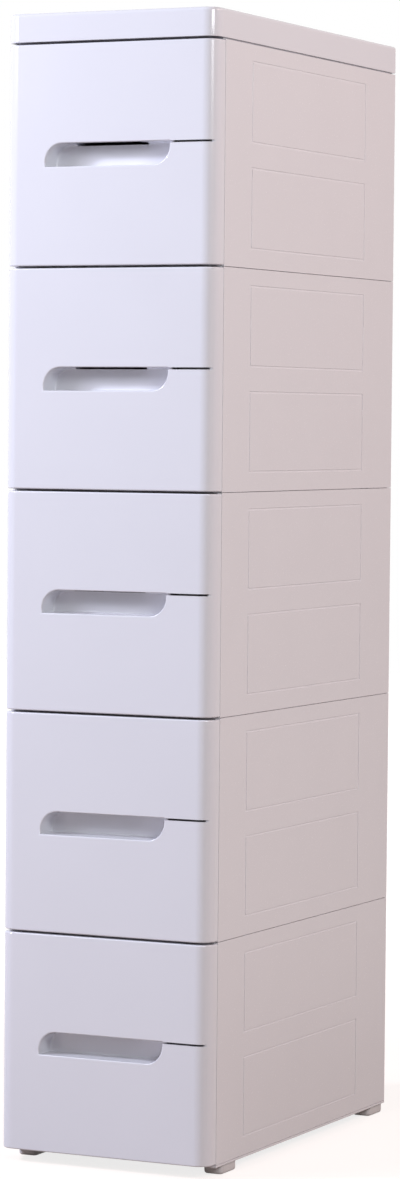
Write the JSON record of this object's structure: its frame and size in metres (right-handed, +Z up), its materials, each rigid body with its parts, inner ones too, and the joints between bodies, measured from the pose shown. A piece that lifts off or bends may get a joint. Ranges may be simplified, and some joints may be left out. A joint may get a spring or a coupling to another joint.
{
  "type": "plastic drawer tower",
  "caption": "Tall slim storage tower with a stack of pull-out drawers, recessed finger grips in glossy fronts, ribbed snap-together side panels, a rounded cap and low corner pads.",
  "frame": {"origin": "on the floor, under the middle of the tower's footprint", "axes": "+Z up, +X across the front to the right of someone facing it, -Y out of the drawer fronts"},
  "size_m": [0.2, 0.385, 0.986],
  "materials": {
    "glossy_front": "gloss",
    "carcass_plastic": "gloss",
    "inner_plastic": "satin",
    "pad_plastic": "satin"
  },
  "bodies": {
    "carcass": {"base_frame": "carcass_plastic", "foot_front_left": "pad_plastic", "foot_front_right": "pad_plastic", "foot_back_left": "pad_plastic", "foot_back_right": "pad_plastic", "left_panel_1": "carcass_plastic", "right_panel_1": "carcass_plastic", "back_panel_1": "carcass_plastic", "left_panel_2": "carcass_plastic", "right_panel_2": "carcass_plastic", "back_panel_2": "carcass_plastic", "left_panel_3": "carcass_plastic", "right_panel_3": "carcass_plastic", "back_panel_3": "carcass_plastic", "left_panel_4": "carcass_plastic", "right_panel_4": "carcass_plastic", "back_panel_4": "carcass_plastic", "left_panel_5": "carcass_plastic", "right_panel_5": "carcass_plastic", "back_panel_5": "carcass_plastic", "shelf_board_1": "inner_plastic", "shelf_board_2": "inner_plastic", "shelf_board_3": "inner_plastic", "shelf_board_4": "inner_plastic", "top_cover": "carcass_plastic"},
    "drawer_1": {"drawer_front_1": "glossy_front", "drawer_box_1": "inner_plastic"},
    "drawer_2": {"drawer_front_2": "glossy_front", "drawer_box_2": "inner_plastic"},
    "drawer_3": {"drawer_front_3": "glossy_front", "drawer_box_3": "inner_plastic"},
    "drawer_4": {"drawer_front_4": "glossy_front", "drawer_box_4": "inner_plastic"},
    "drawer_5": {"drawer_front_5": "glossy_front", "drawer_box_5": "inner_plastic"}
  },
  "joints": [
    {"name": "drawer_1_slide", "type": "slide", "parent": "carcass", "child": "drawer_1", "axis": [0, -1, 0], "range_m": [0, 0.28]},
    {"name": "drawer_2_slide", "type": "slide", "parent": "carcass", "child": "drawer_2", "axis": [0, -1, 0], "range_m": [0, 0.28]},
    {"name": "drawer_3_slide", "type": "slide", "parent": "carcass", "child": "drawer_3", "axis": [0, -1, 0], "range_m": [0, 0.28]},
    {"name": "drawer_4_slide", "type": "slide", "parent": "carcass", "child": "drawer_4", "axis": [0, -1, 0], "range_m": [0, 0.28]},
    {"name": "drawer_5_slide", "type": "slide", "parent": "carcass", "child": "drawer_5", "axis": [0, -1, 0], "range_m": [0, 0.28]}
  ]
}
